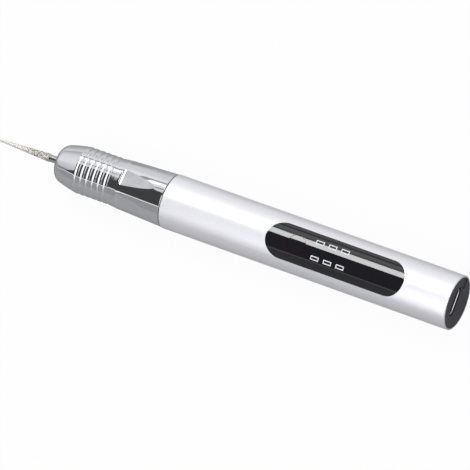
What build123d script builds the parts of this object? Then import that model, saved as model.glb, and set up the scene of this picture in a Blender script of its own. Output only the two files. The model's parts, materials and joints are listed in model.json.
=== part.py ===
from build123d import *
import os
from math import cos, pi, sin, sqrt

# Electric engraving pen. It lies along X, with the bur at -X and the charging port at +X.
# +Z runs through the middle of the window. The origin is on the spindle's axis, half way
# along the tube. Lengths are in millimetres, angles in degrees.

# Fits shared by many pieces
overrun = 2.0
press_gap = 0.02
fit_gap = 0.05
run_gap = 0.1

# Stack across the tube, from its underside up to the top of the window
tube_wall = 0.9
chassis_gap = 0.15
chassis_floor = 0.9
cell_diameter = 10.0
sleeve_wall = 0.13
board_gap = 0.5
board_thickness = 0.8
switch_height = 0.6
switch_cover_thickness = 0.2
plunger_height = 0.35
button_flange_thickness = 0.4
button_headroom = 1.4
lens_thickness = 1.5

# Tube and window, along X
window_front_margin = 37.4
window_length = 48.7
window_rear_margin = 15.9
window_width = 11.64
tube_edge_chamfer = 0.15

# Window lens, button and indicator marks
lens_flange = 0.5
button_offset = 10.75
button_radius = 3.15
button_crown_radius = 10.0
button_crown_drop = 0.045
button_flange_reach = 0.55
button_skin = 1.3
button_skirt_wall = 0.8
button_post_radius = 1.0
light_ring_width = 0.25
mark_offset = 18.05
mark_pitch = 4.44
mark_columns = 3
mark_row_spacing = 5.2
mark_row_shift = 0.5
mark_length = 2.86
mark_width = 1.3
mark_line = 0.3
mark_depth = 0.1

# Front grip, measured forward from the seam
seam_width = 0.3
seam_recess = 0.1
grip_step = 0.15
grip_length = 40.8
grip_taper_drop = 0.73
grip_neck_length = 2.75
grip_neck_drop = 0.32
grip_band_land = 0.3
grip_nose_drop = 2.25
grip_nose_bulge = 0.22
grip_taper_round = 4.0
grip_neck_round = 4.0
grip_nose_round = 3.4
grip_wall = 1.2
grip_front_wall = 1.4
grip_hole_radius = 2.0
grip_rear_chamfer = 0.15

# Grooves round the grip, with slanting walls and a flat floor
groove_count = 6
groove_pitch = 2.12
groove_first = 20.18
groove_floor = 0.5
groove_wall = 0.45
groove_depth = 0.18

# Scoops ground into the grip, for fingers or a wrench
scoop_count = 6
scoop_turn = 14.0
scoop_start = 3.6
scoop_length = 11.4
scoop_depth = 0.45
scoop_runout = 1.4

# Nose mount, which joins grip, spindle housing, motor and tube
mount_insert = 9.0
mount_spigot_length = 11.0
mount_front_wall = 2.9
mount_wall = 0.7

# Spindle housing and its two ball bearings
housing_setback = 4.8
housing_seat_wall = 0.48
housing_collar_radius = 6.2
housing_collar_length = 1.5
housing_tail_wall = 0.98
housing_shoulder = 1.3
bearing_bore = 5.0
bearing_outer = 9.0
bearing_width = 3.0
bearing_ring_thickness = 0.55
ball_count = 7
ball_radius = 0.5
ball_race_gap = 0.05
cage_thickness = 0.4
cage_width = 1.6
spacer_wall = 1.1

# Collet chuck
chuck_setback = 1.9
chuck_shoulder = 0.35
chuck_web = 3.9
chuck_slit_length = 8.0
chuck_slit_width = 0.4
chuck_motor_gap = 0.5
clamp_ring_length = 1.6
clamp_ring_wall = 0.5
clamp_ring_setback = 0.6

# Engraving bur
bur_shank_diameter = 2.35
bur_shank_out = 3.65
bur_head_length = 18.8
bur_head_radius = 1.42
bur_tip_radius = 0.37
bur_shoulder = 0.25
bur_coat = 0.12
bur_coat_gap = 0.01
bur_end_gap = 0.3

# Motor
motor_diameter = 12.0
motor_can_wall = 0.5
motor_front_wall = 0.6
motor_boss_radius = 2.2
motor_boss_length = 0.8
motor_shaft_radius = 0.75
motor_shaft_reach = 4.4
motor_rim = 1.0
motor_plug = 2.0
bush_wall = 0.6
bush_length = 2.0
magnet_thickness = 1.1
magnet_length = 14.0
magnet_split = 3.6
magnet_setback = 3.0
rotor_gap = 0.25
rotor_length = 12.0
rotor_poles = 3
rotor_hub_wall = 0.85
rotor_shoe = 0.9
rotor_neck = 1.4
rotor_slot = 0.9
winding_thickness = 0.6
winding_gap = 0.15
winding_top_gap = 0.35
winding_overhang = 1.0
commutator_length = 3.0
commutator_wall = 1.0
commutator_slit = 0.25
commutator_gap = 1.2
commutator_end_gap = 0.8
brush_length = 1.2
brush_height = 1.6
terminal_thickness = 0.3
terminal_width = 2.0
terminal_reach = 2.0
terminal_room = 3.5
damper_length = 3.0
damper_setback = 2.0

# Chassis and lithium cell
chassis_ring_wall = 0.95
bulkhead_thickness = 3.0
cell_length = 44.0
cell_nub_radius = 2.0
cell_nub_length = 0.7
cell_room = 1.6
trough_gap = 0.1
trough_wall = 1.5
rear_boss_thickness = 3.0
port_room = 1.0
tab_thickness = 0.15
tab_width = 3.0
tab_drop = 1.5
tab_foot = 1.25

# Main board and what is soldered to it
board_edge_gap = 0.1
board_front_gap = 0.5
board_tail_margin = 0.13
board_tail_setback = 1.7
screw_radius = 0.8
screw_length = 3.4
screw_head_radius = 1.4
screw_head_height = 0.7
screw_slot_width = 0.35
screw_slot_depth = 0.4
led_length = 1.6
led_width = 0.8
led_height = 0.6
led_pocket_gap = 0.5
barrier_margin = 0.9
barrier_gap = 0.1
chip_row = 3.2
control_chip_side = 3.0
control_chip_height = 0.9
control_chip_offset = 31.5
inductor_side = 3.0
inductor_height = 1.1
inductor_offset = 31.5
inductor_round = 0.4
charge_chip_length = 4.9
charge_chip_width = 3.0
charge_chip_height = 1.0
charge_chip_offset = 36.5
driver_chip_length = 2.9
driver_chip_width = 1.6
driver_chip_height = 1.1
driver_chip_setback = 10.4
capacitor_length = 1.25
capacitor_width = 2.0
capacitor_height = 1.0
capacitor_offset = 35.0
resistor_length = 0.5
resistor_width = 1.0
resistor_height = 0.35
resistor_offset = 40.5
small_part_pitch = 2.0
small_part_count = 3
wire_radius = 0.45
wire_bend = 2.4
wire_spread = 3.2
wire_run = 5.5
wire_lift = 0.05
solder_radius = 0.75
solder_height = 0.9

# Tactile switch
switch_length = 4.0
switch_width = 3.2
switch_floor = 0.12
plunger_radius = 0.9
plunger_collar = 0.2
plunger_collar_height = 0.1
plunger_base_gap = 0.3

# Charging port and end cap
port_width = 8.94
port_height = 3.26
port_length = 7.35
port_wall = 0.3
port_mouth_chamfer = 0.13
port_setback = 0.5
port_slot_gap = 0.38
tongue_width = 6.69
tongue_thickness = 0.7
tongue_length = 4.6
tongue_base = 1.6
cap_flange = 0.8
cap_seat_wall = 0.52
cap_plug_length = 5.0
cap_plug_wall = 1.1
cap_edge_round = 0.12
notch_depth = 0.35
notch_bottom = 1.5

# Across the pen
cell_radius = cell_diameter / 2
sleeve_radius = cell_radius + press_gap + sleeve_wall
stack_below = tube_wall + chassis_gap + chassis_floor + 2 * sleeve_radius + board_gap + board_thickness
stack_switch = switch_height + switch_cover_thickness + plunger_height
stack_above = button_flange_thickness + button_headroom + lens_thickness
tube_radius = (stack_below + stack_switch + stack_above) / 2
bore_radius = tube_radius - tube_wall
chassis_radius = bore_radius - chassis_gap
lens_inner_radius = tube_radius - lens_thickness
cell_z = -chassis_radius + chassis_floor + sleeve_radius
board_z = cell_z + sleeve_radius + board_gap
board_top = board_z + board_thickness
switch_top = board_top + switch_height + switch_cover_thickness
button_base = switch_top + plunger_height
port_z = board_z - port_height / 2
board_half_width = sqrt((lens_inner_radius - board_edge_gap) ** 2 - board_top ** 2)

# Along the tube
tube_length = window_front_margin + window_length + window_rear_margin
tube_front = -tube_length / 2
tube_rear = tube_length / 2
window_front = tube_front + window_front_margin
window_middle = window_front + window_length / 2
button_x = window_front + button_offset
cap_front = tube_rear - cap_flange - cap_plug_length
port_rear = tube_rear - port_setback
port_front = port_rear - port_length

# Along the nose
grip_rear = tube_front - seam_width
grip_front = grip_rear - grip_length
mount_front = tube_front - mount_spigot_length
mount_rear = tube_front + mount_insert
motor_radius = motor_diameter / 2
spigot_radius = motor_radius + fit_gap + mount_wall
motor_front = mount_front + mount_front_wall
rotor_front = motor_front + magnet_setback + (magnet_length - rotor_length) / 2
commutator_front = rotor_front + rotor_length + winding_overhang + commutator_gap
motor_rear = commutator_front + commutator_length + commutator_end_gap + motor_plug
motor_length = motor_rear - motor_front
bearing_outer_radius = bearing_outer / 2
seat_radius = bearing_outer_radius + press_gap
housing_front = grip_front + housing_setback
housing_radius = seat_radius + housing_seat_wall
housing_tail_radius = seat_radius + housing_tail_wall
front_bearing_x = housing_front
rear_bearing_x = mount_front - bearing_width
chuck_radius = bearing_bore / 2 - press_gap
chuck_front = grip_front + chuck_setback
chuck_rear = motor_front - motor_boss_length - chuck_motor_gap
socket_front = motor_front - motor_boss_length - motor_shaft_reach - bur_end_gap
bore_rear = socket_front - chuck_web
bur_rear = bore_rear - bur_end_gap
head_rear = grip_front - bur_shank_out
head_front = head_rear - bur_head_length

# Along the chassis
bulkhead_front = motor_rear + motor_rim + terminal_room
bulkhead_rear = bulkhead_front + bulkhead_thickness
cell_front = bulkhead_rear + cell_room
cell_rear = cell_front + cell_length
trough_rear = cell_rear + cell_room
board_front = bulkhead_front + board_front_gap
board_tail = tube_rear - board_tail_setback
rear_boss_rear = port_front - port_room
rear_boss_front = rear_boss_rear - rear_boss_thickness
screw_places = (bulkhead_front + bulkhead_thickness / 2, rear_boss_front + rear_boss_thickness / 2)
wire_x = motor_rear + motor_rim + terminal_reach - wire_radius

# The grip's outline
grip_rear_radius = tube_radius - grip_step
grip_taper_radius = grip_rear_radius - grip_taper_drop
grip_band_radius = grip_taper_radius - grip_neck_drop
grip_nose_radius = grip_band_radius - grip_nose_drop
groove_half_width = groove_floor / 2 + groove_wall
groove_last = groove_first + groove_pitch * (groove_count - 1)
grip_neck_x = grip_rear - groove_first + groove_half_width + grip_band_land
grip_taper_x = grip_neck_x + grip_neck_length
grip_taper_length = grip_rear - grip_taper_x
grip_band_x = grip_rear - groove_last - groove_half_width - grip_band_land
grip_bore_radius = grip_band_radius - grip_wall
grip_socket_radius = spigot_radius + run_gap
grip_nose_slope = grip_nose_drop / (grip_band_x - grip_front)

# Round parts inside the motor, the bearings and the window
rotor_radius = motor_radius - motor_can_wall - press_gap - magnet_thickness - rotor_gap
hub_radius = motor_shaft_radius + press_gap + rotor_hub_wall
shoe_inner = rotor_radius - rotor_shoe
commutator_radius = motor_shaft_radius + press_gap + commutator_wall
ball_circle = (bearing_bore + bearing_outer) / 4
race_radius = ball_radius + ball_race_gap
light_ring_inner = button_radius + run_gap
light_ring_outer = light_ring_inner + light_ring_width


def bar(x, radius, length):
    """A round bar on the pen's axis, from x towards the tail."""
    shape = Cylinder(radius, length, align=(Align.CENTER, Align.CENTER, Align.MIN))
    return Pos(x, 0, 0) * Rot(0, 90, 0) * shape


def ring(x, outer, inner, length):
    """A plain ring on the pen's axis, from x towards the tail."""
    return bar(x, outer, length) - bar(x, inner, length)


def block(x, y, z, length, width, height):
    """A box from x and from z upwards, with its middle at y."""
    shape = Box(length, width, height, align=(Align.MIN, Align.CENTER, Align.MIN))
    return Pos(x, y, z) * shape


def chip(x, y, z, length, width, height):
    """A box standing at z, with its middle at x and y."""
    return block(x - length / 2, y, z, length, width, height)


def post(x, y, z, radius, height):
    """An upright round post, from z upwards."""
    shape = Cylinder(radius, height, align=(Align.CENTER, Align.CENTER, Align.MIN))
    return Pos(x, y, z) * shape


def stadium(margin):
    """An upright prism on the window's outline, grown by a margin."""
    outline = SlotOverall(window_length + 2 * margin, window_width + 2 * margin)
    return extrude(Pos(window_middle, 0, 0) * outline, amount=tube_radius + overrun)


def port_shape(x, length, margin):
    """A bar along X on the charging port's outline, grown by a margin."""
    plane = Plane(origin=(x, 0, port_z), x_dir=(0, 1, 0), z_dir=(1, 0, 0))
    outline = SlotOverall(port_width + 2 * margin, port_height + 2 * margin)
    return extrude(plane * outline, amount=length)


def around(shape, count, start=0.0):
    """Copies of a shape, evenly spaced about the pen's axis."""
    return [Rot(start + 360 / count * number, 0, 0) * shape for number in range(count)]


def group(shapes):
    """Separate solids kept together as one piece."""
    solids = [solid for shape in shapes for solid in shape.solids()]
    return Compound(children=solids)


def on_outside(edge):
    """Whether a round edge of the tube lies on its outer surface."""
    return edge.radius > bore_radius + tube_wall / 2


def make_body_tube():
    tube = ring(tube_front, tube_radius, bore_radius, tube_length)
    tube = chamfer(tube.edges().filter_by(GeomType.CIRCLE).filter_by(on_outside), tube_edge_chamfer)
    seat = bar(tube_rear - cap_flange, tube_radius - cap_seat_wall, cap_flange + overrun)
    return tube - seat - stadium(0)


def grip_outline_radius(distance):
    """The grip's outer radius on its rear taper, at a distance forward of the seam."""
    return grip_rear_radius - grip_taper_drop * distance / grip_taper_length


def make_scoop():
    """The cutter for one scoop: a slanting floor that a round run-out lifts at the front."""
    start = (grip_rear - scoop_start, grip_outline_radius(scoop_start))
    deep = scoop_start + scoop_length
    low = (grip_rear - deep, grip_outline_radius(deep) - scoop_depth)
    end_distance = deep + scoop_runout
    end = (grip_rear - end_distance, grip_outline_radius(end_distance))
    run = (low[0] - start[0], low[1] - start[1])
    behind = (start[0] - run[0] / scoop_length * overrun, start[1] - run[1] / scoop_length * overrun)
    top = tube_radius + overrun
    floor = Line((behind[0], 0, behind[1]), (low[0], 0, low[1]))
    runout = TangentArc((low[0], 0, low[1]), (end[0], 0, end[1]), tangent=(run[0], 0, run[1]))
    slope = runout % 1
    lift = overrun / abs(slope.X)
    past = (end[0] + slope.X * lift, end[1] + slope.Z * lift)
    rest = Polyline(
        (end[0], 0, end[1]),
        (past[0], 0, past[1]),
        (past[0], 0, top),
        (behind[0], 0, top),
        (behind[0], 0, behind[1]),
    )
    outline = make_face([*floor.edges(), *runout.edges(), *rest.edges()])
    return extrude(outline, amount=tube_radius, both=True)


def make_grooves():
    """The band's outline, from the rear edge of its first groove to the front edge of its last."""
    corners = []
    for number in range(groove_count):
        x = grip_rear - groove_first - groove_pitch * number
        floor_radius = grip_band_radius - groove_depth
        corners += [
            (x + groove_half_width, 0, grip_band_radius),
            (x + groove_floor / 2, 0, floor_radius),
            (x - groove_floor / 2, 0, floor_radius),
            (x - groove_half_width, 0, grip_band_radius),
        ]
    return Polyline(*corners)


def make_front_grip():
    grooves = make_grooves()
    band_start = grooves @ 0
    band_end = grooves @ 1
    taper = FilletPolyline(
        (grip_rear, 0, grip_rear_radius),
        (grip_taper_x, 0, grip_taper_radius),
        (grip_neck_x, 0, grip_band_radius),
        (band_start.X, 0, grip_band_radius),
        radius=[grip_taper_round, grip_neck_round],
    )
    band_corner = (grip_band_x, 0, grip_band_radius)
    nose_corner = (grip_front, 0, grip_nose_radius)
    belly_radius = (grip_band_radius + grip_nose_radius) / 2 + grip_nose_bulge
    belly = ((grip_band_x + grip_front) / 2, 0, belly_radius)
    nose = (
        Line((band_end.X, 0, grip_band_radius), band_corner),
        ThreePointArc(band_corner, belly, nose_corner),
        Line(nose_corner, (grip_front, 0, grip_hole_radius)),
    )
    inner_front = grip_front + grip_front_wall
    socket_front_x = mount_front - fit_gap
    nose_bore = grip_bore_radius - grip_nose_slope * (grip_band_x - inner_front)
    inside = Polyline(
        (grip_front, 0, grip_hole_radius),
        (inner_front, 0, grip_hole_radius),
        (inner_front, 0, nose_bore),
        (grip_band_x, 0, grip_bore_radius),
        (socket_front_x, 0, grip_bore_radius),
        (socket_front_x, 0, grip_socket_radius),
        (grip_rear, 0, grip_socket_radius),
        (grip_rear, 0, grip_rear_radius),
    )
    lines = (taper, grooves, *nose, inside)
    grip = revolve(make_face([edge for line in lines for edge in line.edges()]), Axis.X)
    rear_edge = grip.edges().filter_by(GeomType.CIRCLE).sort_by(Axis.X)[-2:].sort_by(SortBy.RADIUS)[-1]
    grip = chamfer(rear_edge, grip_rear_chamfer)
    front_edge = grip.edges().filter_by(GeomType.CIRCLE).group_by(Axis.X)[0].sort_by(SortBy.RADIUS)[-1]
    grip = fillet(front_edge, grip_nose_round)
    for scoop in around(make_scoop(), scoop_count, -scoop_turn):
        grip -= scoop
    return grip


def make_seam_ring():
    outer = grip_rear_radius - seam_recess
    return ring(grip_rear, outer, spigot_radius + run_gap, seam_width)


def make_nose_mount():
    insert = bar(tube_front, bore_radius - fit_gap, mount_insert)
    spigot = bar(mount_front, spigot_radius, mount_spigot_length)
    motor_bore = bar(motor_front, motor_radius + fit_gap, motor_length)
    housing_bore = bar(mount_front - overrun, housing_tail_radius + press_gap, motor_length)
    return insert + spigot - motor_bore - housing_bore


def make_spindle_housing():
    body = bar(housing_front, housing_radius, mount_front - housing_front)
    collar = bar(mount_front - housing_collar_length, housing_collar_radius, housing_collar_length)
    tail = bar(mount_front, housing_tail_radius, mount_front_wall - fit_gap)
    throat_radius = seat_radius - housing_shoulder
    throat = bar(housing_front - overrun, throat_radius, motor_front - housing_front + 2 * overrun)
    front_seat = bar(housing_front - overrun, seat_radius, overrun + bearing_width)
    rear_seat = bar(rear_bearing_x, seat_radius, motor_front - rear_bearing_x + overrun)
    return body + collar + tail - throat - front_seat - rear_seat


def make_bearing_spacer():
    length = motor_front - mount_front - fit_gap
    return ring(mount_front, bearing_outer_radius, bearing_outer_radius - spacer_wall, length)


def make_race(x):
    """The ring-shaped cutter for both ball races of the bearing at x."""
    profile = Plane.XZ * Pos(x + bearing_width / 2, ball_circle) * Circle(race_radius)
    return revolve(profile, Axis.X)


def make_outer_ring(x):
    inner = bearing_outer_radius - bearing_ring_thickness
    return ring(x, bearing_outer_radius, inner, bearing_width) - make_race(x)


def make_inner_ring(x):
    bore = bearing_bore / 2
    return ring(x, bore + bearing_ring_thickness, bore, bearing_width) - make_race(x)


def make_balls(x):
    ball = Pos(x + bearing_width / 2, 0, ball_circle) * Sphere(ball_radius)
    return group(around(ball, ball_count))


def make_cage(x):
    start = x + (bearing_width - cage_width) / 2
    cage = ring(start, ball_circle + cage_thickness / 2, ball_circle - cage_thickness / 2, cage_width)
    pocket = Pos(x + bearing_width / 2, 0, ball_circle) * Sphere(race_radius)
    for cut in around(pocket, ball_count):
        cage -= cut
    return cage


def make_collet_chuck():
    chuck = bar(chuck_front, chuck_radius, chuck_rear - chuck_front)
    shoulder_front = front_bearing_x + bearing_width
    chuck += bar(shoulder_front, chuck_radius + chuck_shoulder, rear_bearing_x - shoulder_front)
    chuck -= bar(chuck_front - overrun, bur_shank_diameter / 2 + press_gap, bore_rear - chuck_front + overrun)
    chuck -= bar(socket_front, motor_shaft_radius + press_gap, chuck_rear - socket_front + overrun)
    slit = Pos(chuck_front - overrun, 0, 0) * Box(
        chuck_slit_length + overrun,
        chuck_slit_width,
        4 * chuck_radius,
        align=(Align.MIN, Align.CENTER, Align.CENTER),
    )
    return chuck - slit - Rot(90, 0, 0) * slit


def make_clamp_ring():
    inner = chuck_radius + press_gap
    return ring(chuck_front + clamp_ring_setback, inner + clamp_ring_wall, inner, clamp_ring_length)


def head_outline(inset):
    """Half the bur's head, turned to a blunt tip, drawn in by an inset all round."""
    rear = head_rear
    tip_centre = head_front + bur_tip_radius
    tip_radius = bur_tip_radius - inset
    shoulder = Line((rear, 0, 0), (rear, 0, bur_head_radius - bur_shoulder - inset))
    step = Line(shoulder @ 1, (rear - bur_shoulder, 0, bur_head_radius - inset))
    flank = Line(step @ 1, (tip_centre, 0, tip_radius))
    middle = (tip_centre - tip_radius * cos(pi / 4), 0, tip_radius * sin(pi / 4))
    tip = ThreePointArc(flank @ 1, middle, (tip_centre - tip_radius, 0, 0))
    close = Line(tip @ 1, shoulder @ 0)
    lines = (shoulder, step, flank, tip, close)
    return revolve(make_face([line.edge() for line in lines]), Axis.X)


def make_engraving_bur():
    shank = bar(head_rear, bur_shank_diameter / 2, bur_rear - head_rear)
    return shank + head_outline(bur_coat + bur_coat_gap)


def make_bur_coat():
    return head_outline(0) - head_outline(bur_coat)


def make_motor_can():
    can = bar(motor_front, motor_radius, motor_length)
    can -= bar(motor_front + motor_front_wall, motor_radius - motor_can_wall, motor_length)
    can += bar(motor_front - motor_boss_length, motor_boss_radius, motor_boss_length)
    bush_radius = motor_shaft_radius + fit_gap + bush_wall
    return can - bar(motor_front - motor_boss_length - overrun, bush_radius + press_gap, motor_length)


def make_motor_end_cap():
    cap = bar(motor_rear, motor_radius, motor_rim)
    cap += bar(motor_rear - motor_plug, motor_radius - motor_can_wall - press_gap, motor_plug)
    bush_radius = motor_shaft_radius + fit_gap + bush_wall
    cap -= bar(motor_rear - motor_plug - overrun, bush_radius + press_gap, overrun + motor_plug + motor_rim / 2)
    for side in (1, -1):
        slot = block(
            motor_rear - motor_plug - overrun,
            side * wire_spread,
            -terminal_width / 2 - press_gap,
            motor_plug + motor_rim + 2 * overrun,
            terminal_thickness + 2 * press_gap,
            terminal_width + 2 * press_gap,
        )
        cap -= slot
    return cap


def make_motor_bush(x):
    inner = motor_shaft_radius + fit_gap
    return ring(x, inner + bush_wall, inner, bush_length)


def make_motor_shaft():
    start = motor_front - motor_boss_length - motor_shaft_reach
    return bar(start, motor_shaft_radius, motor_rear - start)


def make_magnets():
    outer = motor_radius - motor_can_wall - press_gap
    shell = ring(motor_front + magnet_setback, outer, outer - magnet_thickness, magnet_length)
    split = block(motor_front, 0, -motor_radius, motor_length, magnet_split, motor_diameter)
    return group([shell - split])


def make_rotor_core():
    shoes = ring(rotor_front, rotor_radius, shoe_inner, rotor_length)
    gap = block(rotor_front, 0, 0, rotor_length, rotor_slot, rotor_radius + overrun)
    for slot in around(gap, rotor_poles, 180 / rotor_poles):
        shoes -= slot
    neck_height = (shoe_inner + rotor_radius) / 2
    neck = block(rotor_front, 0, 0, rotor_length, rotor_neck, neck_height)
    core = bar(rotor_front, hub_radius, rotor_length)
    for arm in around(neck, rotor_poles):
        core += arm
    core += shoes
    return core - bar(rotor_front, motor_shaft_radius + press_gap, rotor_length)


def make_windings():
    bottom = hub_radius + winding_gap
    height = shoe_inner - winding_top_gap - bottom
    length = rotor_length + 2 * winding_overhang
    width = rotor_neck + 2 * winding_thickness
    coil = block(rotor_front - winding_overhang, 0, bottom, length, width, height)
    hole = block(rotor_front - press_gap, 0, bottom - overrun, rotor_length + 2 * press_gap,
                 rotor_neck + 2 * press_gap, height + 2 * overrun)
    return group(around(coil - hole, rotor_poles))


def make_commutator():
    outer = ring(commutator_front, commutator_radius, motor_shaft_radius + press_gap, commutator_length)
    middle = (commutator_radius + motor_shaft_radius) / 2
    slit = block(commutator_front, 0, middle, commutator_length, commutator_slit, commutator_radius)
    for cut in around(slit, rotor_poles, 180 / rotor_poles):
        outer -= cut
    return outer


def make_brushes():
    reach = wire_spread - terminal_thickness / 2 - commutator_radius - fit_gap
    middle = commutator_radius + fit_gap + reach / 2
    start = commutator_front + (commutator_length - brush_length) / 2
    return group([block(start, side * middle, -brush_height / 2, brush_length, reach, brush_height)
                  for side in (1, -1)])


def make_terminals():
    start = commutator_front + (commutator_length - brush_length) / 2
    end = motor_rear + motor_rim + terminal_reach
    return group([block(start, side * wire_spread, -terminal_width / 2, end - start,
                        terminal_thickness, terminal_width) for side in (1, -1)])


def make_damper():
    inner = motor_radius + fit_gap
    outer = chassis_radius - chassis_ring_wall - fit_gap
    return ring(mount_rear + damper_setback, outer, inner, damper_length)


def make_chassis():
    chassis = bar(mount_rear, chassis_radius, cap_front - mount_rear)
    motor_room = bar(mount_rear - overrun, chassis_radius - chassis_ring_wall,
                     bulkhead_front - mount_rear + overrun)
    above = block(bulkhead_front, 0, board_z, tube_length, tube_radius * 2, tube_radius)
    trough_radius = sleeve_radius + trough_gap
    chassis = chassis - motor_room - above
    hollows = (
        (bulkhead_rear, trough_rear),
        (trough_rear + trough_wall, rear_boss_front),
        (rear_boss_rear, cap_front + overrun),
    )
    for start, end in hollows:
        length = end - start
        chassis -= Pos(0, 0, cell_z) * bar(start, trough_radius, length)
        chassis -= block(start, 0, cell_z, length, 2 * trough_radius, tube_radius - cell_z)
    lens_room = stadium(lens_flange + chassis_gap)
    chassis -= lens_room - bar(tube_front, lens_inner_radius - board_edge_gap, tube_length)
    for x in screw_places:
        chassis -= post(x, 0, board_z - screw_length, screw_radius + press_gap, screw_length)
    return chassis


def make_cell():
    can = bar(cell_front + cell_nub_length, cell_radius, cell_length - cell_nub_length)
    nub = bar(cell_front, cell_nub_radius, cell_nub_length)
    return Pos(0, 0, cell_z) * (can + nub)


def make_sleeve():
    start = cell_front + cell_nub_length
    inner = cell_radius + press_gap
    return Pos(0, 0, cell_z) * ring(start, sleeve_radius, inner, cell_length - cell_nub_length)


def make_tabs():
    height = board_z - cell_z + tab_drop
    tabs = []
    for face, side in ((cell_front, -1), (cell_rear, 1)):
        strip = chip(face + side * tab_thickness / 2, 0, cell_z - tab_drop, tab_thickness, tab_width, height)
        foot = chip(face + side * tab_foot / 2, 0, board_z - tab_thickness, tab_foot, tab_width, tab_thickness)
        tabs.append(strip + foot)
    return group(tabs)


def make_main_board():
    board = block(board_front, 0, board_z, cap_front - board_front, 2 * board_half_width, board_thickness)
    tail_width = port_width + 2 * board_tail_margin
    board += block(cap_front, 0, board_z, board_tail - cap_front, tail_width, board_thickness)
    for x in screw_places:
        board -= post(x, 0, board_z, screw_radius + fit_gap, board_thickness)
    return board


def make_board_screws():
    screws = []
    for x in screw_places:
        screw = post(x, 0, board_top, screw_head_radius, screw_head_height)
        screw += post(x, 0, board_z - screw_length + fit_gap, screw_radius, screw_length + board_thickness)
        slot_z = board_top + screw_head_height - screw_slot_depth
        slot = chip(x, 0, slot_z, 2 * screw_head_radius, screw_slot_width, screw_head_height)
        cross = chip(x, 0, slot_z, screw_slot_width, 2 * screw_head_radius, screw_head_height)
        screws.append(screw - slot - cross)
    return group(screws)


def mark_places():
    """The middle of each indicator, three along the pen in each of two rows."""
    rows = (mark_row_shift + mark_row_spacing / 2, mark_row_shift - mark_row_spacing / 2)
    columns = [window_front + mark_offset + mark_pitch * number for number in range(mark_columns)]
    return [(x, y) for y in rows for x in columns]


def make_leds():
    return group([chip(x, y, board_top, led_length, led_width, led_height) for x, y in mark_places()])


def make_button_led():
    x = button_x + switch_length / 2 + led_length
    return chip(x, 0, board_top, led_width, led_length, led_height)


def make_light_barrier():
    length = mark_pitch * (mark_columns - 1) + mark_length + 2 * barrier_margin
    width = mark_row_spacing + mark_width + 2 * barrier_margin
    middle = window_front + mark_offset + mark_pitch * (mark_columns - 1) / 2
    barrier = chip(middle, mark_row_shift, board_top, length, width, tube_radius)
    for x, y in mark_places():
        pocket_length = led_length + 2 * led_pocket_gap
        barrier -= chip(x, y, board_top, pocket_length, led_width + led_pocket_gap, tube_radius)
    return barrier & bar(tube_front, lens_inner_radius - barrier_gap, tube_length)


def make_control_chip():
    x = window_front + control_chip_offset
    return chip(x, chip_row, board_top, control_chip_side, control_chip_side, control_chip_height)


def make_inductor():
    x = window_front + inductor_offset
    coil = chip(x, -chip_row, board_top, inductor_side, inductor_side, inductor_height)
    return fillet(coil.edges().filter_by(Axis.Z), inductor_round)


def make_charge_chip():
    x = window_front + charge_chip_offset
    return chip(x, chip_row, board_top, charge_chip_length, charge_chip_width, charge_chip_height)


def make_driver_chip():
    x = board_front + driver_chip_setback
    return chip(x, 0, board_top, driver_chip_length, driver_chip_width, driver_chip_height)


def small_parts(y, offset, length, width, height):
    """A row of small soldered parts behind the larger chips, on one side of the board."""
    places = [window_front + offset + small_part_pitch * number for number in range(small_part_count)]
    return group([chip(x, y, board_top, length, width, height) for x in places])


def make_capacitors():
    return small_parts(-chip_row, capacitor_offset, capacitor_length, capacitor_width, capacitor_height)


def make_resistors():
    return small_parts(chip_row, resistor_offset, resistor_length, resistor_width, resistor_height)


def make_motor_wires():
    wires = []
    height = board_top + wire_radius + wire_lift
    for side in (1, -1):
        y = side * wire_spread
        route = FilletPolyline(
            (wire_x, y, terminal_width / 2),
            (wire_x, y, height),
            (board_front + wire_run, y, height),
            radius=wire_bend,
        )
        section = Plane(origin=route @ 0, z_dir=route % 0) * Circle(wire_radius)
        wires.append(sweep(section, path=route))
    return group(wires)


def make_solder_joints():
    x = board_front + wire_run + solder_radius
    return group([post(x, side * wire_spread, board_top, solder_radius, solder_height) for side in (1, -1)])


def make_switch_body():
    body = chip(button_x, 0, board_top, switch_length, switch_width, switch_height)
    room = plunger_radius + plunger_collar + fit_gap
    return body - post(button_x, 0, board_top + switch_floor, room, switch_height)


def make_switch_cover():
    z = board_top + switch_height
    cover = chip(button_x, 0, z, switch_length, switch_width, switch_cover_thickness)
    return cover - post(button_x, 0, z, plunger_radius + fit_gap, switch_cover_thickness)


def make_switch_plunger():
    base = board_top + switch_floor + plunger_base_gap
    plunger = post(button_x, 0, base, plunger_radius, button_base - base)
    return plunger + post(button_x, 0, base, plunger_radius + plunger_collar, plunger_collar_height)


def window_shell():
    """The lens's thickness, from its inner face out to the tube's surface."""
    return ring(window_front - lens_flange - overrun, tube_radius, lens_inner_radius,
                window_length + 2 * (lens_flange + overrun))


def mark_cutters(gap):
    """Upright outlines of the indicator marks, with a gap round each line."""
    marks = []
    for x, y in mark_places():
        outer = chip(x, y, 0, mark_length + 2 * gap, mark_width + 2 * gap, tube_radius + overrun)
        hole_length = mark_length - 2 * mark_line - 2 * gap
        hole_width = mark_width - 2 * mark_line - 2 * gap
        marks.append(outer - chip(x, y, 0, hole_length, hole_width, tube_radius + overrun))
    return marks


def make_window_lens():
    pane = stadium(-fit_gap) & window_shell()
    flange_ring = ring(tube_front, bore_radius - fit_gap, lens_inner_radius, tube_length)
    lens = pane + (stadium(lens_flange) & flange_ring)
    lens -= post(button_x, 0, 0, light_ring_outer + press_gap, tube_radius + overrun)
    skin = ring(tube_front, tube_radius + overrun, tube_radius - mark_depth - press_gap, tube_length)
    for mark in mark_cutters(press_gap / 2):
        lens -= mark & skin
    return lens


def make_indicator_marks():
    skin = ring(tube_front, tube_radius, tube_radius - mark_depth, tube_length)
    return group([mark & skin for mark in mark_cutters(0)])


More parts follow.
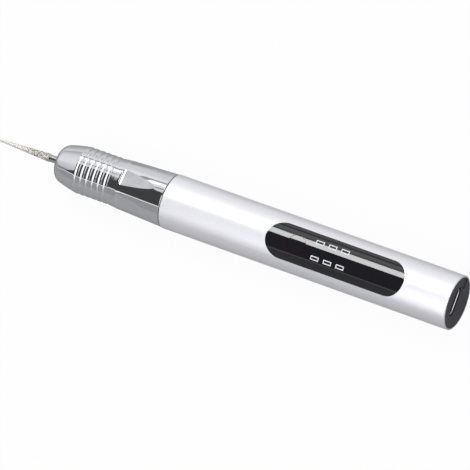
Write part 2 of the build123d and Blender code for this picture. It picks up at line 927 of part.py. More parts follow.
def make_light_ring():
    outer = post(button_x, 0, 0, light_ring_outer, tube_radius + overrun)
    hollow = post(button_x, 0, 0, light_ring_inner, tube_radius + overrun)
    return (outer - hollow) & window_shell()


def make_power_button():
    """A cap flatter than the tube, its long sides flush with the tube's surface."""
    height = tube_radius + overrun - button_base
    cap = post(button_x, 0, button_base, button_radius, height)
    crown_z = tube_radius - button_crown_drop - button_crown_radius
    cap = cap & (Pos(0, 0, crown_z) * bar(tube_front, button_crown_radius, tube_length))
    cap = cap & bar(tube_front, tube_radius, tube_length)
    flange_radius = button_radius + button_flange_reach
    cap += post(button_x, 0, button_base, flange_radius, button_flange_thickness)
    room_top = tube_radius - button_skin
    room = post(button_x, 0, button_base, button_radius - button_skirt_wall, room_top - button_base)
    cap -= room
    return cap + post(button_x, 0, button_base, button_post_radius, room_top - button_base)


def make_port_shell():
    shell = port_shape(port_front, port_length, 0)
    shell -= port_shape(port_front - overrun, port_length + 2 * overrun, -port_wall)
    mouth = shell.faces().sort_by(Axis.X)[-1]
    return chamfer(mouth.inner_wires()[0].edges(), port_mouth_chamfer)


def make_port_tongue():
    base = port_shape(port_front, tongue_base, -port_wall - press_gap)
    tongue = block(port_front, 0, port_z - tongue_thickness / 2, tongue_base + tongue_length,
                   tongue_width, tongue_thickness)
    return base + tongue


def make_end_cap():
    flange_radius = tube_radius - cap_seat_wall - fit_gap
    flange = bar(tube_rear - cap_flange, flange_radius, cap_flange)
    rear_edges = flange.edges().filter_by(GeomType.CIRCLE).sort_by(Axis.X)[-1:]
    flange = fillet(rear_edges, cap_edge_round)
    plug_radius = bore_radius - fit_gap
    plug = ring(cap_front, plug_radius, plug_radius - cap_plug_wall, cap_plug_length)
    slot = port_shape(cap_front, tube_length, port_slot_gap)
    notch_front = tube_rear - notch_depth
    notch_y = port_width / 2 + port_slot_gap
    notch_width = tube_radius
    notch = block(notch_front, notch_y + notch_width / 2, -notch_bottom, tube_length, notch_width,
                  notch_bottom + port_z)
    return flange + plug - slot - notch


nodes = {
    "body_tube": make_body_tube(),
    "front_grip": make_front_grip(),
    "seam_ring": make_seam_ring(),
    "nose_mount": make_nose_mount(),
    "spindle_housing": make_spindle_housing(),
    "bearing_spacer": make_bearing_spacer(),
    "collet_chuck": make_collet_chuck(),
    "chuck_clamp_ring": make_clamp_ring(),
    "engraving_bur": make_engraving_bur(),
    "bur_diamond_coat": make_bur_coat(),
    "motor_can": make_motor_can(),
    "motor_end_cap": make_motor_end_cap(),
    "motor_front_bush": make_motor_bush(motor_front - motor_boss_length),
    "motor_rear_bush": make_motor_bush(motor_rear - motor_plug),
    "motor_shaft": make_motor_shaft(),
    "motor_magnets": make_magnets(),
    "rotor_core": make_rotor_core(),
    "rotor_windings": make_windings(),
    "commutator": make_commutator(),
    "motor_brushes": make_brushes(),
    "motor_terminals": make_terminals(),
    "motor_damper": make_damper(),
    "motor_wires": make_motor_wires(),
    "solder_joints": make_solder_joints(),
    "chassis": make_chassis(),
    "battery_cell": make_cell(),
    "battery_sleeve": make_sleeve(),
    "battery_tabs": make_tabs(),
    "main_board": make_main_board(),
    "board_screws": make_board_screws(),
    "indicator_leds": make_leds(),
    "button_led": make_button_led(),
    "light_barrier": make_light_barrier(),
    "control_chip": make_control_chip(),
    "power_inductor": make_inductor(),
    "charge_chip": make_charge_chip(),
    "driver_chip": make_driver_chip(),
    "board_capacitors": make_capacitors(),
    "board_resistors": make_resistors(),
    "switch_body": make_switch_body(),
    "switch_cover": make_switch_cover(),
    "switch_plunger": make_switch_plunger(),
    "window_lens": make_window_lens(),
    "indicator_marks": make_indicator_marks(),
    "button_light_ring": make_light_ring(),
    "power_button": make_power_button(),
    "port_shell": make_port_shell(),
    "port_tongue": make_port_tongue(),
    "end_cap": make_end_cap(),
}
for end, x in (("front", front_bearing_x), ("rear", rear_bearing_x)):
    nodes[end + "_bearing_outer_ring"] = make_outer_ring(x)
    nodes[end + "_bearing_inner_ring"] = make_inner_ring(x)
    nodes[end + "_bearing_balls"] = make_balls(x)
    nodes[end + "_bearing_cage"] = make_cage(x)

os.makedirs("parts", exist_ok=True)
for name, shape in nodes.items():
    export_step(shape, "parts/" + name + ".step")
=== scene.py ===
import bmesh
import bpy
import json
import math
from mathutils import Matrix, Vector, noise


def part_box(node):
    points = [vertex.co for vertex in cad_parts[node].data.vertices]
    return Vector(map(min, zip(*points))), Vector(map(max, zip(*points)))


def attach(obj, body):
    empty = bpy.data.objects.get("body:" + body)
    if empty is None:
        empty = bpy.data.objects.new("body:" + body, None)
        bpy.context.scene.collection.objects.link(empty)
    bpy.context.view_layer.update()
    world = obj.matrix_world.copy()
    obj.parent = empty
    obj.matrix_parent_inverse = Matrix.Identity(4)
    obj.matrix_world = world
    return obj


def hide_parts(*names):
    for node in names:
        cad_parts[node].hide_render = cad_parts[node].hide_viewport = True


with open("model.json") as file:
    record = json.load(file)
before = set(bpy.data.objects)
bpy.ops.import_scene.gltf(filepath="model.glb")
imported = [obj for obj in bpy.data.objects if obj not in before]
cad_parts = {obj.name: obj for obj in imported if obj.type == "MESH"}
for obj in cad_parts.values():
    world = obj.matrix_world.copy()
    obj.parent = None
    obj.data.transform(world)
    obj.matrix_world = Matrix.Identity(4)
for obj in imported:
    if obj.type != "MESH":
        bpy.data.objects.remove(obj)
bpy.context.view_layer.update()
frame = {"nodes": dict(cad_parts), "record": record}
nodes = frame["nodes"]
scene = bpy.context.scene

# Every length below is in millimetres unless its name says otherwise.
MM = 0.001
TUBE_RADIUS = 9.0


def linear(hex_colour):
    """The linear RGBA of an sRGB hex colour."""
    channels = [int(hex_colour[start:start + 2], 16) / 255 for start in (1, 3, 5)]
    return (*[c / 12.92 if c <= 0.04045 else ((c + 0.055) / 1.055) ** 2.4 for c in channels], 1.0)


def grey(value):
    """The linear RGBA of a grey, for brightness."""
    return (value, value, value, 1.0)


def add(tree, kind, inputs=None, stops=(), blend="LINEAR", **settings):
    """Adds a node, with its settings, and with each input linked to a socket or set to a value.

    A colour ramp also gets its (position, colour) stops and how they blend.
    """
    made = tree.nodes.new(kind)
    for name, value in settings.items():
        setattr(made, name, value)
    for name, value in (inputs or {}).items():
        if isinstance(value, bpy.types.NodeSocket):
            tree.links.new(value, made.inputs[name])
        else:
            made.inputs[name].default_value = value
    if stops:
        made.color_ramp.interpolation = blend
        elements = made.color_ramp.elements
        while len(elements) < len(stops):
            elements.new(0.5)
        for element, (position, colour) in zip(elements, stops):
            element.position = position
            element.color = colour
    return made


def new_material(name):
    """An empty material, its node tree, and its surface's place in millimetres."""
    material = bpy.data.materials.new(name)
    material.use_nodes = True
    tree = material.node_tree
    tree.nodes.clear()
    place = add(tree, "ShaderNodeTexCoord").outputs["Object"]
    place_mm = add(tree, "ShaderNodeVectorMath", {0: place, "Scale": 1 / MM}, operation="SCALE")
    return material, tree, place_mm.outputs["Vector"]


# What the finishes share. The mottle's scale is this share of the grain's, for grains down to the
# finest size. Noise from low to high spans the roughness. The wave's scale gives lines 1 mm apart.
MOTTLE_SCALE = 0.35
MOTTLE_FINEST = 0.05
MOTTLE_DETAIL = 3.0
MOTTLE_LOW = 0.3
MOTTLE_HIGH = 0.7
GRAIN_DETAIL = 2.0
WAVE_SCALE = 0.31416
PLASTIC_IOR = 1.5


def finish_of(name, colour, second, roughness, grain, **more):
    """A material with mottled colour and roughness and a fine relief.

    roughness is (low, high), and grain is (size, height) of the relief in millimetres. lines adds
    turned, wound or stacked lines as (axis, pitch, depth). metallic and ior are the shader's.
    """
    material, tree, place = new_material(name)
    size, height = grain
    mottle = add(tree, "ShaderNodeTexNoise", {
        "Vector": place, "Scale": MOTTLE_SCALE / max(size, MOTTLE_FINEST), "Detail": MOTTLE_DETAIL})
    shade = add(tree, "ShaderNodeMix", {0: mottle.outputs["Fac"], 6: linear(colour), 7: linear(second)},
                data_type="RGBA")
    rough = add(tree, "ShaderNodeMapRange", {
        "Value": mottle.outputs["Fac"], "From Min": MOTTLE_LOW, "From Max": MOTTLE_HIGH,
        "To Min": roughness[0], "To Max": roughness[1]})
    fine = add(tree, "ShaderNodeTexNoise", {"Vector": place, "Scale": 1 / size, "Detail": GRAIN_DETAIL})
    relief = add(tree, "ShaderNodeBump", {
        "Height": fine.outputs["Fac"], "Distance": height * MM, "Strength": 1.0})
    normal = relief.outputs["Normal"]
    if "lines" in more:
        axis, pitch, depth = more["lines"]
        wave = add(tree, "ShaderNodeTexWave", {
            "Vector": place, "Scale": WAVE_SCALE / pitch, "Distortion": 0.0},
            wave_type="BANDS", bands_direction=axis)
        lines = add(tree, "ShaderNodeBump", {
            "Height": wave.outputs["Fac"], "Distance": depth * MM, "Strength": 1.0, "Normal": normal})
        normal = lines.outputs["Normal"]
    surface = add(tree, "ShaderNodeBsdfPrincipled", {
        "Base Color": shade.outputs[2], "Roughness": rough.outputs["Result"], "Normal": normal,
        "Metallic": more.get("metallic", 0.0), "IOR": more.get("ior", PLASTIC_IOR)})
    add(tree, "ShaderNodeOutputMaterial", {"Surface": surface.outputs["BSDF"]})
    return material


# The grit's tints: the size of one, and the heights where bare plating ends and bare grain begins.
GRIT_TINT = 0.3
PLATING_TOP = 0.1
GRAIN_START = 0.75


def make_grit_finish():
    """Nickel-plated diamond grit: pale glassy grains in duller plating, darker partly as painted shade."""
    material, tree, place = new_material("plated_diamond_grit")
    height = add(tree, "ShaderNodeAttribute", attribute_name="grain_height").outputs["Fac"]
    grains = add(tree, "ShaderNodeTexVoronoi", {"Vector": place, "Scale": 1 / GRIT_TINT})
    pale = add(tree, "ShaderNodeMix", {0: grains.outputs["Distance"], 6: linear("#f1eeea"),
                                       7: linear("#dcd8d2")}, data_type="RGBA")
    # The low plating between grains is darker, partly its own duller colour and partly painted shade in the
    # hollows.
    plating_and_hollow_shade = add(tree, "ShaderNodeMapRange", {"Value": height, "From Min": PLATING_TOP,
                                              "From Max": GRAIN_START})
    shade = add(tree, "ShaderNodeMix", {0: plating_and_hollow_shade.outputs["Result"], 6: linear("#8f8a84"),
                                        7: pale.outputs[2]}, data_type="RGBA")
    rough = add(tree, "ShaderNodeMapRange", {"Value": height, "To Min": 0.5, "To Max": 0.28})
    surface = add(tree, "ShaderNodeBsdfPrincipled", {"Base Color": shade.outputs[2], "Metallic": 0.6,
                                                     "Roughness": rough.outputs["Result"]})
    add(tree, "ShaderNodeOutputMaterial", {"Surface": surface.outputs["BSDF"]})
    return material


# One finish for each material slot, named for the real material and how its surface was made. The
# note on each says what that gives the eye.
FINISHES = {
    # Aluminium, bead-blasted and clear anodised: satin and almost white. Its real grain, about
    # 0.05 mm, is drawn at 0.12 mm, to show as a faint mottle.
    "anodised_aluminium": finish_of("anodised_aluminium", "#e9e9ee", "#dedee4", (0.40, 0.47), (0.12, 0.004),
                                    metallic=0.9),
    # Chrome, plated on polished metal: a slightly blue mirror with hardly any haze.
    "bright_chrome": finish_of("bright_chrome", "#cdced2", "#c6c7cc", (0.03, 0.05), (0.9, 0.0008),
                               metallic=1.0),
    # Acrylic, smoked and polished: deep black with a hard, clear gloss.
    "black_window": finish_of("polished_smoked_acrylic", "#19191d", "#1c1c21", (0.02, 0.04), (2.0, 0.0004),
                              ior=1.49),
    # Polycarbonate, tinted and moulded: dark red, almost black while its light is off.
    "red_light_ring": finish_of("tinted_polycarbonate", "#2a0a10", "#330c12", (0.08, 0.14), (0.5, 0.001),
                                ior=1.58),
    # Nitrile rubber, moulded: dull black that hardly shines.
    "sealing_rubber": finish_of("moulded_nitrile_rubber", "#161618", "#1f1f22", (0.6, 0.75), (0.08, 0.006)),
    # Aluminium, turned: bright and pale, with fine rings from the tool.
    "turned_aluminium": finish_of("turned_aluminium", "#c9cacd", "#b9babd", (0.2, 0.3), (0.1, 0.002),
                                  metallic=1.0, lines=("X", 0.12, 0.004)),
    # Tool steel, ground: a cool, even gloss, a little hazier than chrome.
    "ground_steel": finish_of("ground_tool_steel", "#bdbdbf", "#a9a9ac", (0.1, 0.18), (0.2, 0.001),
                              metallic=1.0),
    # Brass, turned: warm yellow, with fine rings from the tool.
    "turned_brass": finish_of("turned_brass", "#d8b56a", "#c8a050", (0.18, 0.28), (0.1, 0.002), metallic=1.0,
                              lines=("X", 0.1, 0.003)),
    # Bronze, sintered: dull brown metal, finely porous.
    "bronze_bush": finish_of("sintered_bronze", "#b0794a", "#8a5c36", (0.35, 0.5), (0.06, 0.01),
                             metallic=1.0),
    # Ferrite, pressed and fired: dark grey and matte, like stoneware.
    "ferrite": finish_of("pressed_ferrite", "#39393c", "#2b2b2e", (0.5, 0.65), (0.1, 0.008)),
    # Iron sheet, stamped and stacked: grey, with a line at each 0.35 mm sheet.
    "laminated_iron": finish_of("stacked_iron_laminations", "#8f9094", "#6f7074", (0.3, 0.42), (0.1, 0.003),
                                metallic=1.0, lines=("X", 0.35, 0.02)),
    # Copper wire, enamelled and wound: glossy orange-brown turns, 0.2 mm apart.
    "enamelled_copper": finish_of("enamelled_copper_wire", "#b8623a", "#9a4a28", (0.15, 0.25), (0.2, 0.002),
                                  metallic=0.9, lines=("Z", 0.2, 0.05)),
    # Copper, bare and drawn: soft pink-orange metal.
    "bare_copper": finish_of("bare_copper", "#d08a64", "#b9714e", (0.2, 0.32), (0.1, 0.003), metallic=1.0),
    # Carbon, pressed: sooty black, matte and grainy.
    "carbon": finish_of("pressed_carbon", "#242425", "#1a1a1b", (0.5, 0.65), (0.07, 0.008)),
    # Nylon, moulded in white: warm white with a soft, waxy sheen.
    "white_nylon": finish_of("moulded_white_nylon", "#e2e1dc", "#d8d7d1", (0.4, 0.5), (0.15, 0.003)),
    # Nylon, moulded in black: soft charcoal with a waxy sheen.
    "black_nylon": finish_of("moulded_black_nylon", "#1c1c1e", "#252527", (0.45, 0.55), (0.15, 0.004)),
    # Steel, drawn and nickel plated: smooth, slightly warm bright metal.
    "cell_case": finish_of("nickel_plated_steel", "#c2c2c0", "#b2b2b0", (0.18, 0.26), (0.3, 0.002),
                           metallic=1.0),
    # PVC film, shrunk on: smooth blue with a soft gloss and slight waves.
    "shrink_sleeve": finish_of("shrunk_pvc_film", "#2a5fa8", "#24569c", (0.25, 0.32), (0.6, 0.01)),
    # Nickel, rolled: warm grey metal with faint, even lines.
    "nickel_strip": finish_of("rolled_nickel", "#bdbab2", "#aeaba3", (0.2, 0.3), (0.1, 0.002), metallic=1.0,
                              lines=("X", 0.15, 0.002)),
    # Glass epoxy under solder mask: deep green, softly glossy and a little uneven.
    "circuit_board": finish_of("solder_masked_glass_epoxy", "#12402c", "#17492f", (0.25, 0.35),
                               (0.25, 0.006)),
    # Epoxy, moulded: matte, finely grained charcoal.
    "chip_resin": finish_of("moulded_epoxy", "#1d1d1f", "#262629", (0.5, 0.6), (0.05, 0.004)),
    # Ceramic, fired: tan and smooth, with little shine.
    "ceramic": finish_of("fired_ceramic", "#a08266", "#8f7258", (0.35, 0.45), (0.08, 0.003)),
    # Clear resin over phosphor, cast: pale yellow, smooth and glossy.
    "led_resin": finish_of("cast_phosphor_resin", "#e8e2b8", "#ded79f", (0.15, 0.25), (0.1, 0.002)),
    # Resin, moulded in white: clean white, half matte.
    "white_resin": finish_of("moulded_white_resin", "#e4e3df", "#dad9d4", (0.4, 0.5), (0.12, 0.003)),
    # Silicone, extruded: red, with a soft, rubbery sheen.
    "wire_insulation": finish_of("silicone_insulation", "#b02724", "#a0201e", (0.4, 0.5), (0.2, 0.003)),
    # Tin solder, flowed: bright silver, rippled where it froze.
    "solder": finish_of("tin_solder", "#c9cacb", "#b5b6b8", (0.15, 0.3), (0.2, 0.01), metallic=1.0),
    # White ink, screen printed: bright, almost flat white.
    "white_ink": finish_of("white_screen_ink", "#f1f2f6", "#e6e7ec", (0.35, 0.45), (0.08, 0.002)),
    # Stainless steel, drawn: cool, bright and smooth.
    "port_steel": finish_of("drawn_stainless_steel", "#d2d2d4", "#c2c2c5", (0.15, 0.25), (0.12, 0.002),
                            metallic=1.0),
    # ABS, spark-textured in the mould: dark grey and matte, with a fine pebbled grain.
    "cap_plastic": finish_of("spark_textured_abs", "#2d2d34", "#393941", (0.5, 0.62), (0.3, 0.03)),
    # Diamond grit, held in nickel plating: rough and pale, with bright grains.
    "diamond_grit": make_grit_finish(),
}

for part in frame["record"]["subparts"]:
    mesh = nodes[part["node"]].data
    mesh.materials.clear()
    mesh.materials.append(FINISHES[part["material_slot"]])


# The bur's grit: a mesh of real grains inside the coat's own outline, with a round tip and a bevelled
# rear edge. It is coarse on the thick end and grows smooth towards the tip, between two radii. Real
# grains are about 0.15 mm, too fine to show, so they are drawn at 0.42 mm.
GRIT_TIP_RADIUS = 0.37
GRIT_TIP_TURNS = (15, 30, 45, 60, 75)
GRIT_SHOULDER = 0.25
GRIT_COAT = 0.12
GRIT_GRAIN = 0.42
GRIT_GRAIN_REACH = 0.62
GRIT_HEIGHT = 0.1
GRIT_FINE_RADIUS = 0.35
GRIT_COARSE_RADIUS = 1.15
GRIT_SIDES = 72
GRIT_STEP = 0.09
LEAST_RADIUS = 0.01


def grit_profile(front, rear, radius):
    """The coat's outline as (x, radius) points, from its tip to its rear edge."""
    centre = front + GRIT_TIP_RADIUS
    tip = [(centre - GRIT_TIP_RADIUS * math.cos(turn), GRIT_TIP_RADIUS * math.sin(turn))
           for turn in map(math.radians, GRIT_TIP_TURNS)]
    start = (centre, GRIT_TIP_RADIUS)
    end = (rear - GRIT_SHOULDER, radius)
    count = round((end[0] - start[0]) / GRIT_STEP)
    side = [(start[0] + (end[0] - start[0]) * step / count, start[1] + (end[1] - start[1]) * step / count)
            for step in range(count + 1)]
    return tip + side + [(rear, radius - GRIT_SHOULDER)]


def grain_at(place):
    """How high the grit stands at a place, from 0 between grains to 1 on top of one."""
    nearest = noise.voronoi(place / GRIT_GRAIN)[0][0]
    return max(0.0, 1 - (nearest / GRIT_GRAIN_REACH) ** 2)


def make_grit():
    """The grit as a closed shell of rings round the bur's axis, X."""
    low, high = (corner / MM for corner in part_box("bur_diamond_coat"))
    outer = grit_profile(low[0], high[0], high[1])
    inner = [(max(x, low[0] + GRIT_COAT), max(radius - GRIT_COAT, LEAST_RADIUS))
             for x, radius in reversed(outer)]
    mesh = bmesh.new()
    heights = []
    rings = []
    for number, (x, radius) in enumerate(outer + inner):
        ring = []
        coarse = min(1.0, max(0.0, (radius - GRIT_FINE_RADIUS) / (GRIT_COARSE_RADIUS - GRIT_FINE_RADIUS)))
        for side in range(GRIT_SIDES):
            turn = 2 * math.pi * side / GRIT_SIDES
            height = grain_at(Vector((x, radius * math.sin(turn), radius * math.cos(turn))))
            height = 1 - (1 - height) * coarse
            grown = radius
            if number < len(outer):
                grown -= GRIT_HEIGHT * (1 - height)
            ring.append(mesh.verts.new(Vector((x, grown * math.sin(turn), grown * math.cos(turn))) * MM))
            heights.append(height)
        rings.append(ring)
    for ring, after in zip(rings, rings[1:]):
        for side in range(GRIT_SIDES):
            far = (side + 1) % GRIT_SIDES
            mesh.faces.new((ring[side], ring[far], after[far], after[side]))
    mesh.faces.new(reversed(rings[0]))
    mesh.faces.new(rings[-1])
    bmesh.ops.recalc_face_normals(mesh, faces=mesh.faces)
    data = bpy.data.meshes.new("diamond_grit")
    mesh.to_mesh(data)
    mesh.free()
    data.attributes.new("grain_height", "FLOAT", "POINT").data.foreach_set("value", heights)
    data.materials.append(FINISHES["diamond_grit"])
    grit = bpy.data.objects.new("diamond_grit", data)
    scene.collection.objects.link(grit)
    return grit


grit = make_grit()
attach(grit, "bur")
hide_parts("bur_diamond_coat")


# Floor: pale matte paper that stays white to the camera and keeps the pen's soft shadow. A share of
# plain glow sees to that, and metal sees a share of it too.
FLOOR_REACH = 30000
FLOOR_GLOW = 0.94
FLOOR_MIRRORED = 0.85
floor_mesh = bpy.data.meshes.new("floor")
corners = ((-FLOOR_REACH, -FLOOR_REACH), (FLOOR_REACH, -FLOOR_REACH), (FLOOR_REACH, FLOOR_REACH),
           (-FLOOR_REACH, FLOOR_REACH))
floor_mesh.from_pydata([(x * MM, y * MM, -TUBE_RADIUS * MM) for x, y in corners], [], [(0, 1, 2, 3)])
floor = bpy.data.objects.new("floor", floor_mesh)
scene.collection.objects.link(floor)
paper, tree, place = new_material("matte_paper")
fibres = add(tree, "ShaderNodeTexNoise", {"Vector": place, "Scale": 0.5, "Detail": 3.0})
tone = add(tree, "ShaderNodeMix", {0: fibres.outputs["Fac"], 6: linear("#eeeeee"), 7: linear("#f2f2f2")},
           data_type="RGBA")
matte = add(tree, "ShaderNodeBsdfPrincipled", {"Base Color": tone.outputs[2], "Roughness": 0.9,
                                               "Specular IOR Level": 0.1})
path = add(tree, "ShaderNodeLightPath")
seen = add(tree, "ShaderNodeMath", {0: path.outputs["Is Camera Ray"], 1: FLOOR_GLOW}, operation="MULTIPLY")
mirrored = add(tree, "ShaderNodeMath", {0: path.outputs["Is Glossy Ray"],
                                        1: path.outputs["Is Transmission Ray"]}, operation="MAXIMUM")
share = add(tree, "ShaderNodeMath", {0: mirrored.outputs[0], 1: FLOOR_MIRRORED, 2: seen.outputs[0]},
            operation="MULTIPLY_ADD")
# Metal sees painted shade in the paper's glow: a painted shadow dims it beside the pen, and it is
# painted darker on the pen's near side: the brightness at each Y.
PAPER_REACH = 70.0
PAPER_PAINTED_SHADE = (
    (-70.0, 0.48),
    (-30.0, 0.45),
    (-12.0, 0.33),
    (0.0, 0.24),
    (12.0, 0.36),
    (26.0, 0.62),
    (45.0, 0.9),
    (70.0, 1.0),
)
axes = add(tree, "ShaderNodeSeparateXYZ", {0: place})
beside = add(tree, "ShaderNodeMapRange", {"Value": axes.outputs["Y"], "From Min": -PAPER_REACH,
                                          "From Max": PAPER_REACH})
# The painted shadow and shade in the glow that metal sees, ramped across Y.
painted_shadow = add(tree, "ShaderNodeValToRGB", {"Fac": beside.outputs["Result"]},
             stops=[((y + PAPER_REACH) / (2 * PAPER_REACH), grey(level)) for y, level in PAPER_PAINTED_SHADE])
light = add(tree, "ShaderNodeMix", {0: mirrored.outputs[0], 6: grey(1.0), 7: painted_shadow.outputs["Color"]},
            data_type="RGBA")
glow = add(tree, "ShaderNodeEmission", {"Color": light.outputs[2], "Strength": 1.0})
sheet = add(tree, "ShaderNodeMixShader", {0: share.outputs[0], 1: matte.outputs["BSDF"],
                                          2: glow.outputs["Emission"]})
add(tree, "ShaderNodeOutputMaterial", {"Surface": sheet.outputs["Shader"]})
floor_mesh.materials.append(paper)


# Room: white behind the object. Metal and glass see long panels instead, given by their angle round
# the pen from straight up, in degrees towards +Y, and their brightness. A black flag hangs over the
# pen, its front edge cut at a slant; soft panels lie towards the bur, the tail and behind the tail.
FLAG_PANELS = (
    (-180.0, 0.5),
    (-98.0, 0.55),
    (-76.0, 0.46),
    (-44.5, 1.5),
    (-42.0, 0.08),
    (18.3, 1.0),
    (30.5, 0.45),
    (36.5, 1.2),
    (46.0, 1.7),
    (58.5, 0.48),
    (65.0, 1.25),
    (76.0, 1.05),
    (118.0, 0.5),
)
BUR_PANELS = (
    (-180.0, 0.5),
    (-60.0, 0.5),
    (-45.0, 0.7),
    (-40.0, 0.35),
    (-34.0, 0.35),
    (-26.0, 0.8),
    (0.0, 1.0),
    (20.0, 1.2),
    (60.0, 1.1),
    (90.0, 0.6),
    (180.0, 0.5),
)
TAIL_PANELS = (
    (-180.0, 0.3),
    (-110.0, 0.4),
    (-70.0, 0.7),
    (-45.0, 1.4),
    (-20.0, 2.2),
    (20.0, 2.0),
    (60.0, 1.6),
    (90.0, 1.0),
    (115.0, 0.6),
    (180.0, 0.3),
)
AFT_PANELS = (
    (-180.0, 0.3),
    (-60.0, 0.7),
    (-20.0, 2.0),
    (13.0, 2.0),
    (17.0, 0.15),
    (38.0, 0.15),
    (44.0, 1.7),
    (80.0, 0.8),
    (180.0, 0.3),
)
# The flag's front edge, as the least X of a direction at its low side, and how that grows with the
# share of a full turn round the pen: fast at first, then slowly. Then the X of its rear edge and of
# the aft panels, and of the gap in them that lights the grooves' front walls.
FLAG_LOW_TURN = 0.383
FLAG_HIGH_TURN = 0.551
FLAG_FRONT = -0.763
FLAG_FRONT_GROWTH = 1.73
FLAG_SHOULDER = -0.6735
FLAG_SHOULDER_GROWTH = 0.54
FLAG_FRONT_EDGE = 0.015
FLAG_REAR = -0.18
AFT_START = 0.06
WALL_START = 0.26
WALL_END = 0.41
PANEL_EDGE = 0.05
WALL_EDGE = 0.03
PANEL_PEAK = 2.5
FILL_STRENGTH = 0.55
world = bpy.data.worlds.new("studio")
scene.world = world
world.use_nodes = True
tree = world.node_tree
tree.nodes.clear()
direction = add(tree, "ShaderNodeSeparateXYZ", {0: add(tree, "ShaderNodeTexCoord").outputs["Generated"]})
angle = add(tree, "ShaderNodeMath", {0: direction.outputs["Y"], 1: direction.outputs["Z"]},
            operation="ARCTAN2")
turned = add(tree, "ShaderNodeMapRange", {"Value": angle.outputs[0], "From Min": -math.pi,
                                          "From Max": math.pi})
turn_share = turned.outputs["Result"]
columns = []
for panels, blend in ((BUR_PANELS, "LINEAR"), (FLAG_PANELS, "CONSTANT"), (TAIL_PANELS, "EASE"),
                      (AFT_PANELS, "LINEAR")):
    stops = [((degrees + 180) / 360, grey(level / PANEL_PEAK)) for degrees, level in panels]
    column = add(tree, "ShaderNodeValToRGB", {"Fac": turn_share}, stops=stops, blend=blend)
    columns.append(column.outputs["Color"])
bur_column, flag_column, tail_column, aft_column = columns
held = add(tree, "ShaderNodeClamp", {"Value": turn_share, "Min": FLAG_LOW_TURN, "Max": FLAG_HIGH_TURN})
grown = add(tree, "ShaderNodeMath", {0: held.outputs["Result"], 1: FLAG_LOW_TURN}, operation="SUBTRACT")
slants = [add(tree, "ShaderNodeMath", {0: grown.outputs[0], 1: growth, 2: first}, operation="MULTIPLY_ADD")
          for first, growth in ((FLAG_FRONT, FLAG_FRONT_GROWTH), (FLAG_SHOULDER, FLAG_SHOULDER_GROWTH))]
front_edge = add(tree, "ShaderNodeMath", {0: slants[0].outputs[0], 1: slants[1].outputs[0]},
                 operation="MINIMUM")
ahead = direction.outputs["X"]
past = add(tree, "ShaderNodeMath", {0: ahead, 1: front_edge.outputs[0]}, operation="SUBTRACT")
shown = bur_column
# From the bur's end to the tail's, each zone starts at an edge, over a width, and shows its column.
for value, edge, width, column in (
        (past.outputs[0], -FLAG_FRONT_EDGE, 2 * FLAG_FRONT_EDGE, flag_column),
        (ahead, FLAG_REAR, PANEL_EDGE, tail_column),
        (ahead, AFT_START, PANEL_EDGE, aft_column),
        (ahead, WALL_START, WALL_EDGE, tail_column),
        (ahead, WALL_END, WALL_EDGE, aft_column),
):
    within = add(tree, "ShaderNodeMapRange", {"Value": value, "From Min": edge, "From Max": edge + width})
    shown = add(tree, "ShaderNodeMix", {0: within.outputs["Result"], 6: shown, 7: column},
                data_type="RGBA").outputs[2]
studio = add(tree, "ShaderNodeBackground", {"Color": shown, "Strength": PANEL_PEAK})
fill = add(tree, "ShaderNodeBackground", {"Color": linear("#f4f5f8"), "Strength": FILL_STRENGTH})
white = add(tree, "ShaderNodeBackground", {"Color": grey(1.0), "Strength": 1.0})
path = add(tree, "ShaderNodeLightPath")
mirrored = add(tree, "ShaderNodeMath", {0: path.outputs["Is Glossy Ray"],
                                        1: path.outputs["Is Transmission Ray"]}, operation="MAXIMUM")
inside = add(tree, "ShaderNodeMixShader", {0: mirrored.outputs[0], 1: fill.outputs[0], 2: studio.outputs[0]})
outside = add(tree, "ShaderNodeMixShader", {0: path.outputs["Is Camera Ray"], 1: inside.outputs[0],
                                            2: white.outputs[0]})
add(tree, "ShaderNodeOutputWorld", {"Surface": outside.outputs[0]})


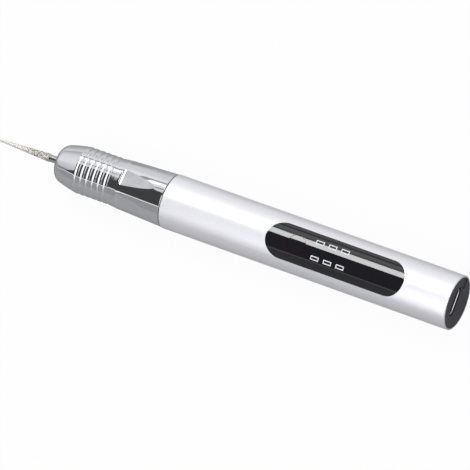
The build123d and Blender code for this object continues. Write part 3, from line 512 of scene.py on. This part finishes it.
# Soft panel lamps that face the pen's line. Each has its X, its turn round the pen in degrees from
# straight up towards +Y, its distance, its size across and along the pen, its watts, and whether
# metal mirrors it. The strip makes the window's long highlight and ends where the grip would begin
# to show it. The low lamp lights the tube's lower half.
LAMPS = {
    "key_lamp": (0, 43.3, 1167, (900, 900), 3.0, False),
    "fill_lamp": (300, -48.4, 1204, (900, 900), 2.0, False),
    "strip_lamp": (-268, 28.5, 750, (271, 84), 1.0, True),
    "low_lamp": (-90, -35, 800, (1000, 200), 1.85, True),
}
for name, (x, turn, distance, size, power, in_mirrors) in LAMPS.items():
    data = bpy.data.lights.new(name, "AREA")
    data.shape = "RECTANGLE"
    data.size, data.size_y = (length * MM for length in size)
    data.energy = power
    lamp = bpy.data.objects.new(name, data)
    tilt = Matrix.Rotation(math.radians(-turn), 4, "X")
    stand = Matrix.Translation(tilt @ Vector((x, 0, distance)) * MM)
    lamp.matrix_world = stand @ tilt @ Matrix.Rotation(math.radians(90), 4, "Z")
    lamp.visible_glossy = in_mirrors
    scene.collection.objects.link(lamp)


# Camera: a long lens, almost over the pen from its tail side. It looks at a point on the pen's axis,
# then moves to its own right and up, and at last rolls round the pen.
AIM_X = -50.0
LENS_MM = 475.3
SENSOR_WIDTH = 36.0
CAMERA_DISTANCE = 1973.0
CAMERA_LEAN = 21.45
CAMERA_SPIN = 19.64
CAMERA_ROLL = 1.2
CAMERA_SHIFT = (19.165, -10.373)
lean = math.radians(CAMERA_LEAN)
spin = math.radians(CAMERA_SPIN)
toward = Vector((math.sin(lean), 0, math.cos(lean)))
along = Vector((math.cos(lean), 0, -math.sin(lean)))
across = Vector((0, 1, 0))
right = along * math.cos(spin) + across * math.sin(spin)
up = toward.cross(right)
facing = Matrix((right, up, toward)).transposed()
roll = Matrix.Rotation(math.radians(CAMERA_ROLL), 3, "X")
spot = Vector((AIM_X, 0, 0)) + toward * CAMERA_DISTANCE + right * CAMERA_SHIFT[0] + up * CAMERA_SHIFT[1]
camera_data = bpy.data.cameras.new("camera")
camera_data.lens = LENS_MM
camera_data.sensor_width = SENSOR_WIDTH
camera_data.clip_start = 0.05
camera_data.clip_end = 100.0
camera = bpy.data.objects.new("camera", camera_data)
camera.matrix_world = Matrix.Translation(roll @ spot * MM) @ (roll @ facing).to_4x4()
scene.collection.objects.link(camera)
scene.camera = camera

scene.view_settings.view_transform = "Standard"
